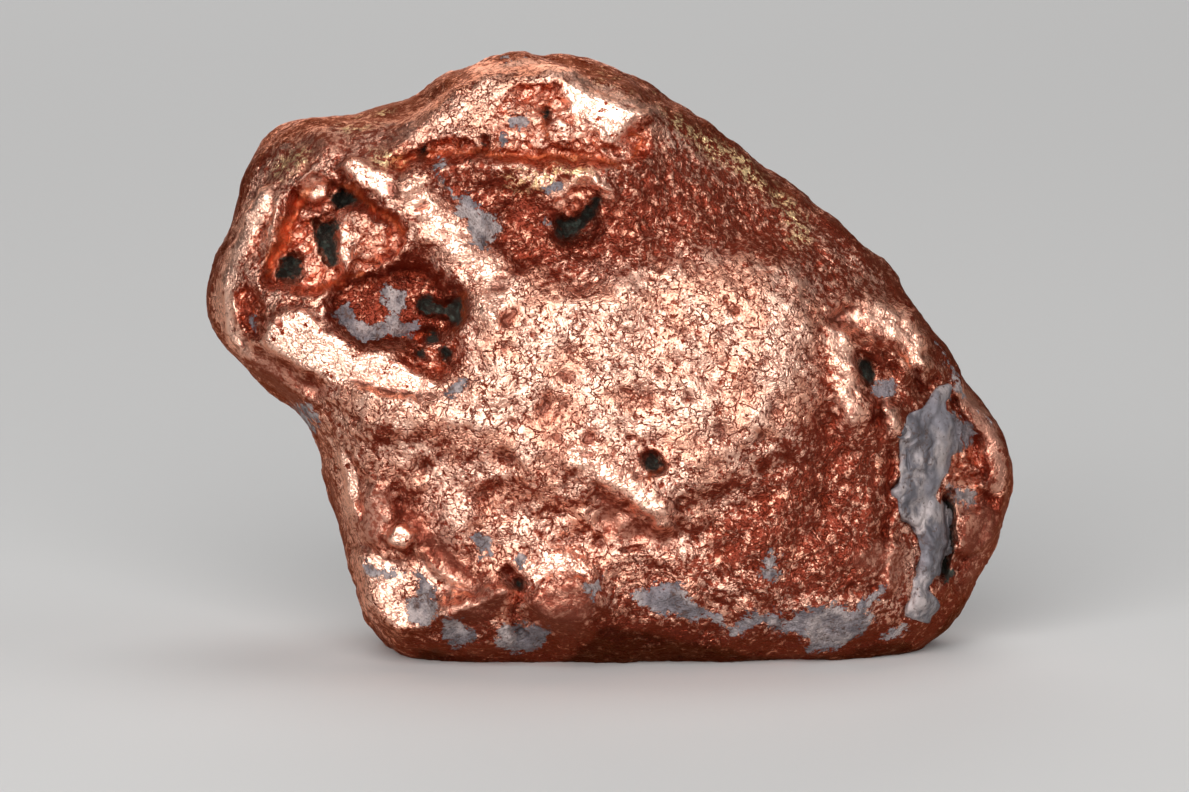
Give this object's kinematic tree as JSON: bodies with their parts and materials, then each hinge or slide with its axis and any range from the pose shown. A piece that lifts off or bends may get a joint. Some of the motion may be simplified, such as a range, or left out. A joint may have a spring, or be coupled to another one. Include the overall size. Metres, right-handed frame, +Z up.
{
  "type": "native copper nugget",
  "caption": "Rounded, water-worn lump of native copper with a pocketed head, a hollowed crown, a crackled front and a cleft filled with grey mineral at one end.",
  "frame": {"origin": "centre of the bounding box in plan, on the flat that the nugget stands on", "axes": "+X along the nugget's length, from the pocketed head to the cleft end; -Y is the crackled front; +Z up"},
  "size_m": [0.0198, 0.0104, 0.0149],
  "materials": {
    "copper": null,
    "grey_mineral": "dull grey gangue mineral, fine grained"
  },
  "bodies": {
    "root": {"nugget": "copper", "cleft_filling": "grey_mineral"}
  },
  "joints": []
}
